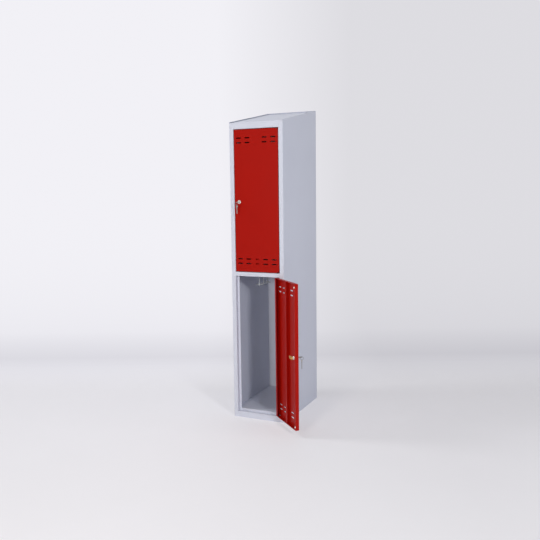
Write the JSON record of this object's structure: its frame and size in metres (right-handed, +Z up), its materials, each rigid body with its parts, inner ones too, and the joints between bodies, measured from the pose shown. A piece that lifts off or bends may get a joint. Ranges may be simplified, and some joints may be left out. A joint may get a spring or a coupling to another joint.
{
  "type": "clothing locker",
  "caption": "Tall steel clothing locker with compartments one above the other, hinged doors with key locks, vent slots, coat hooks inside and a roof that slopes down to the front.",
  "frame": {"origin": "middle of the carcass's footprint, on the ground", "axes": "+X to the right seen from the front, +Y to the back, +Z up; the doors face -Y"},
  "size_m": [0.5248, 0.748, 1.928],
  "materials": {
    "carcass_paint": "satin powder coat, light bluish grey",
    "door_paint": "satin powder coat, red",
    "hook_plating": "bright zinc plate",
    "rivet_metal": "satin",
    "pin_steel": "zinc plate",
    "nylon": "black moulded nylon",
    "buffer_rubber": "soft white moulding",
    "lock_plating": "nickel plate on zinc",
    "lock_brass": "plain brass",
    "key_plating": "nickel plate on brass",
    "ring_steel": "bright steel wire"
  },
  "bodies": {
    "carcass": {"left_side": "carcass_paint", "right_side": "carcass_paint", "back_panel": "carcass_paint", "roof_panel": "carcass_paint", "rear_top_rail": "carcass_paint", "ceiling_panel": "carcass_paint", "middle_shelf": "carcass_paint", "middle_rail": "carcass_paint", "floor_panel": "carcass_paint", "bottom_rail": "carcass_paint", "upper_hooks": "hook_plating", "upper_hook_rivets": "rivet_metal", "lower_hooks": "hook_plating", "lower_hook_rivets": "rivet_metal", "upper_hinge_pins": "pin_steel", "lower_hinge_pins": "pin_steel"},
    "upper_door": {"upper_hinge_bushes": "nylon", "upper_door": "door_paint", "upper_door_stiffener": "door_paint", "upper_door_buffers": "buffer_rubber", "upper_lock_barrel": "lock_plating", "upper_lock_nut": "lock_brass"},
    "upper_lock": {"upper_lock_plug": "lock_plating", "upper_lock_cam": "lock_brass", "upper_cam_screw": "lock_brass", "upper_key": "key_plating"},
    "upper_key_ring": {"upper_key_ring": "ring_steel", "upper_spare_key": "key_plating"},
    "lower_door": {"lower_hinge_bushes": "nylon", "lower_door": "door_paint", "lower_door_stiffener": "door_paint", "lower_door_buffers": "buffer_rubber", "lower_lock_barrel": "lock_plating", "lower_lock_nut": "lock_brass"},
    "lower_lock": {"lower_lock_plug": "lock_plating", "lower_lock_cam": "lock_brass", "lower_cam_screw": "lock_brass", "lower_key": "key_plating"},
    "lower_key_ring": {"lower_key_ring": "ring_steel", "lower_spare_key": "key_plating"}
  },
  "joints": [
    {"name": "upper_door_hinge", "type": "hinge", "parent": "carcass", "child": "upper_door", "pos_m": [0.134, -0.27, 1.354], "axis": [0, 0, 1], "range_deg": [0, 137]},
    {"name": "upper_lock_turn", "type": "hinge", "parent": "upper_door", "child": "upper_lock", "pos_m": [-0.1145, -0.275, 1.35], "axis": [0, 1, 0], "range_deg": [0, 180]},
    {"name": "upper_key_ring_swing", "type": "hinge", "parent": "upper_lock", "child": "upper_key_ring", "pos_m": [-0.1145, -0.3087, 1.35], "axis": [-1, 0, 0], "range_deg": [0, 180]},
    {"name": "lower_door_hinge", "type": "hinge", "parent": "carcass", "child": "lower_door", "pos_m": [0.134, -0.27, 0.467], "axis": [0, 0, 1], "range_deg": [-137, 0]},
    {"name": "lower_lock_turn", "type": "hinge", "parent": "lower_door", "child": "lower_lock", "pos_m": [0.31915, -0.43582, 0.463], "axis": [-0.682, -0.7314, 0], "range_deg": [0, 180]},
    {"name": "lower_key_ring_swing", "type": "hinge", "parent": "lower_lock", "child": "lower_key_ring", "pos_m": [0.34214, -0.41117, 0.463], "axis": [0.7314, -0.682, 0], "range_deg": [0, 180]}
  ],
  "couplings": [
    {"joint": "upper_key_ring_swing", "follows": "upper_lock_turn", "ratio": 1},
    {"joint": "lower_key_ring_swing", "follows": "lower_lock_turn", "ratio": 1}
  ]
}
